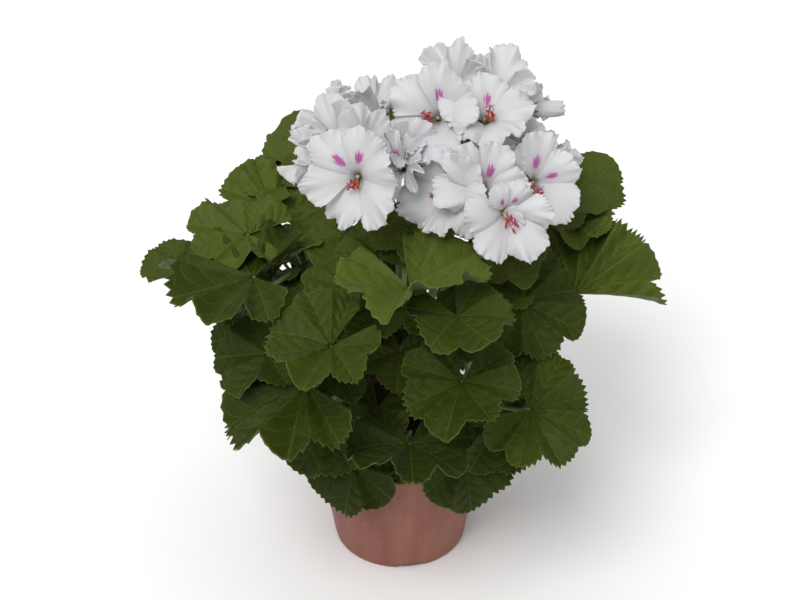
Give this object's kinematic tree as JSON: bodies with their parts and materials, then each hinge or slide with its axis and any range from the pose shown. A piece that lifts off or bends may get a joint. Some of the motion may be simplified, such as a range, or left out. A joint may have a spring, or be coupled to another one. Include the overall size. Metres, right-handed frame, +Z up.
{
  "type": "potted regal pelargonium",
  "caption": "Bushy flowering pot plant with pleated lobed leaves, ruffled white flowers with pink blotches on tall stalks, and soil in a tapered plastic pot.",
  "frame": {"origin": "middle of the pot's foot, where it stands", "axes": "+Z up, the plant's fullest side towards -Y"},
  "size_m": [0.3249, 0.2828, 0.3503],
  "materials": {
    "terracotta_plastic": "satin reddish terracotta",
    "peat": "rough dark peat",
    "foliage": "soft matte green leaves and stems",
    "petal_white": "soft matte white petals",
    "stamen_red": "matte orange red anthers"
  },
  "bodies": {
    "root": {"bud_1": "petal_white", "bud_2": "petal_white", "petals_left_1": "petal_white", "petals_left_2": "petal_white", "petals_left_3": "petal_white", "petals_left_4": "petal_white", "petals_left_5": "petal_white", "petals_left_6": "petal_white", "petals_left_7": "petal_white", "petals_left_8": "petal_white", "petals_right_18": "petal_white", "petals_right_19": "petal_white", "petals_right_20": "petal_white", "petals_right_21": "petal_white", "petals_right_22": "petal_white", "petals_right_23": "petal_white", "petals_top_10": "petal_white", "petals_top_11": "petal_white", "petals_top_12": "petal_white", "petals_top_13": "petal_white", "petals_top_14": "petal_white", "petals_top_15": "petal_white", "petals_top_16": "petal_white", "petals_top_17": "petal_white", "petals_top_9": "petal_white", "pot": "terracotta_plastic", "shoot_back": "foliage", "shoot_back_left": "foliage", "shoot_back_right": "foliage", "shoot_centre": "foliage", "shoot_front": "foliage", "shoot_front_left": "foliage", "shoot_front_right": "foliage", "shoot_left": "foliage", "shoot_right": "foliage", "shoot_top": "foliage", "soil": "peat", "stamens_left_1": "stamen_red", "stamens_right_18": "stamen_red", "stamens_right_19": "stamen_red", "stamens_right_20": "stamen_red", "stamens_right_21": "stamen_red", "stamens_top_10": "stamen_red", "stamens_top_9": "stamen_red"}
  },
  "joints": []
}
